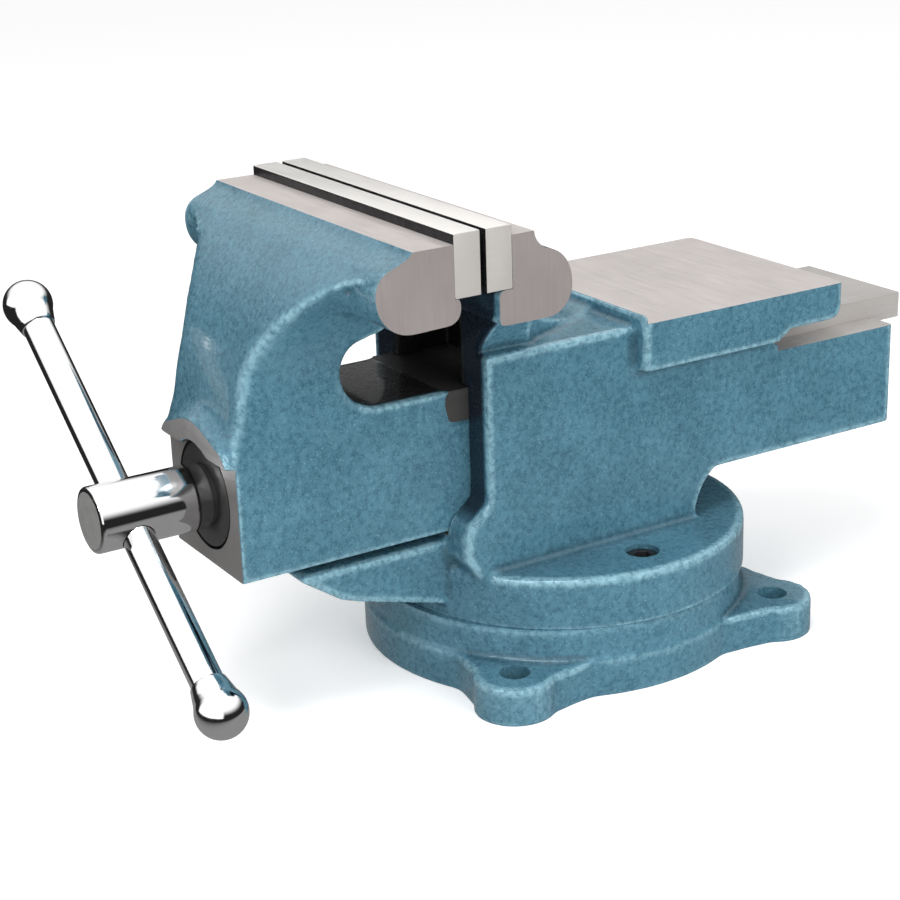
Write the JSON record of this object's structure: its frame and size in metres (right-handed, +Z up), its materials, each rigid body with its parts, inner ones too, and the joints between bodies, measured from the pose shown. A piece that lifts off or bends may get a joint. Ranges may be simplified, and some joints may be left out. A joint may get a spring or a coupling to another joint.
{
  "type": "bench vise",
  "caption": "Cast bench vise with toothed jaws, anvil, slide beam, lead screw with a sliding tommy bar, and a lockable swivel base with bolt lugs.",
  "frame": {"origin": "swivel axis on the bench plane, at the underside of the base", "axes": "+Z up along the swivel axis, +Y from the screw handle towards the anvil and tail, X along the jaws"},
  "size_m": [0.2445, 0.4808, 0.255],
  "materials": {
    "painted_casting": "blue hammertone paint on grey cast iron, machined faces bare",
    "jaw_steel": "ground and knurled hardened steel",
    "bright_steel": "bright plated steel",
    "plain_steel": "turned steel",
    "black_steel": "blackened steel",
    "spring_steel": "oiled spring steel",
    "nut_iron": "machined cast iron"
  },
  "bodies": {
    "base": {"swivel_base": "painted_casting"},
    "turret": {"fixed_body": "painted_casting", "fixed_jaw_plate": "jaw_steel", "fixed_plate_screws": "black_steel", "main_nut": "nut_iron", "nut_bolt": "black_steel", "nut_washer": "plain_steel", "pivot_bolt": "black_steel", "pivot_washer": "plain_steel", "t_nut_near": "nut_iron", "t_nut_far": "nut_iron"},
    "front_jaw": {"moving_jaw": "painted_casting", "moving_jaw_plate": "jaw_steel", "moving_plate_screws": "black_steel", "thrust_washer": "plain_steel"},
    "spindle": {"lead_screw": "bright_steel", "retaining_collar": "plain_steel", "collar_pin": "plain_steel", "spring_washer": "plain_steel", "thrust_spring": "spring_steel"},
    "handle": {"handle_bar": "bright_steel", "handle_ball_upper": "bright_steel", "handle_ball_lower": "bright_steel"},
    "lock_near": {"lock_bolt_near": "black_steel", "lock_washer_near": "plain_steel"},
    "lock_far": {"lock_bolt_far": "black_steel", "lock_washer_far": "plain_steel"}
  },
  "joints": [
    {"name": "swivel", "type": "hinge", "parent": "base", "child": "turret", "pos_m": [0, 0, 0], "axis": [0, 0, 1], "continuous": true},
    {"name": "jaw_slide", "type": "slide", "parent": "turret", "child": "front_jaw", "axis": [0, -1, 0], "range_m": [-0.002, 0.18]},
    {"name": "screw_turn", "type": "hinge", "parent": "front_jaw", "child": "spindle", "pos_m": [0, -0.25, 0.1196], "axis": [0, -1, 0], "range_deg": [-125, 10805]},
    {"name": "handle_slide", "type": "slide", "parent": "spindle", "child": "handle", "axis": [-0.8116, 0, 0.5842], "range_m": [-0.1, 0.08]},
    {"name": "lock_near_turn", "type": "hinge", "parent": "turret", "child": "lock_near", "pos_m": [0.076, 0, 0.05], "axis": [0, 0, 1], "range_deg": [0, 360]},
    {"name": "lock_far_turn", "type": "hinge", "parent": "turret", "child": "lock_far", "pos_m": [-0.076, 0, 0.05], "axis": [0, 0, 1], "range_deg": [0, 360]}
  ],
  "couplings": [
    {"joint": "screw_turn", "follows": "jaw_slide", "rad_per_m": 1047.2}
  ]
}
